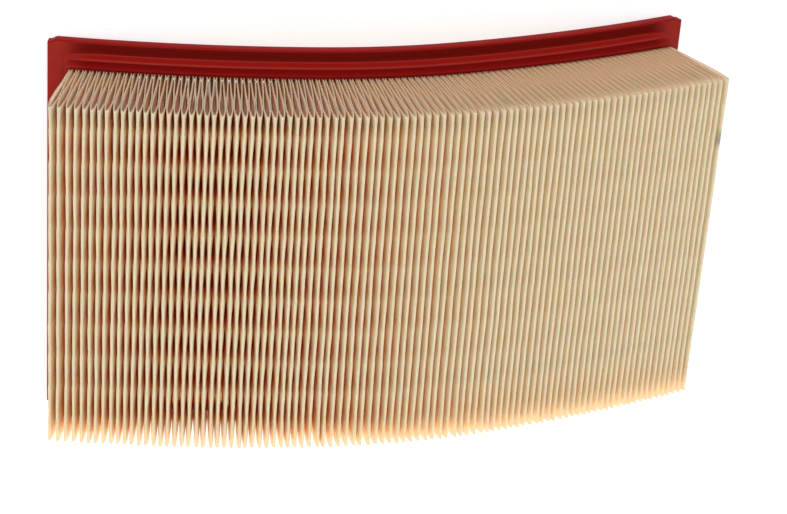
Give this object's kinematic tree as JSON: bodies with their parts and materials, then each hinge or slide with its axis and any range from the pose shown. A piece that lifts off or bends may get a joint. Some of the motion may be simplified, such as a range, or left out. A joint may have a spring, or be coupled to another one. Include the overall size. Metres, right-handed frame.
{
  "type": "air filter",
  "caption": "Bowed rectangular panel air filter: pleated paper pack with glued pleat ends and spacer threads in a soft moulded seal frame.",
  "frame": {"origin": "on the resting plane, under the middle of the panel", "axes": "+X along the panel's length, +Y along the folds of the paper, +Z from the seal flange towards the pleat tips"},
  "size_m": [0.2794, 0.168, 0.0739],
  "materials": {
    "seal_pu": "satin",
    "filter_paper": "matte",
    "spacer_melt": "satin",
    "end_melt": "satin"
  },
  "bodies": {
    "root": {"seal_frame": "seal_pu", "pleated_media": "filter_paper", "spacer_thread_front": "spacer_melt", "spacer_thread_middle": "spacer_melt", "spacer_thread_rear": "spacer_melt", "end_glue_front": "end_melt", "end_glue_rear": "end_melt"}
  },
  "joints": []
}
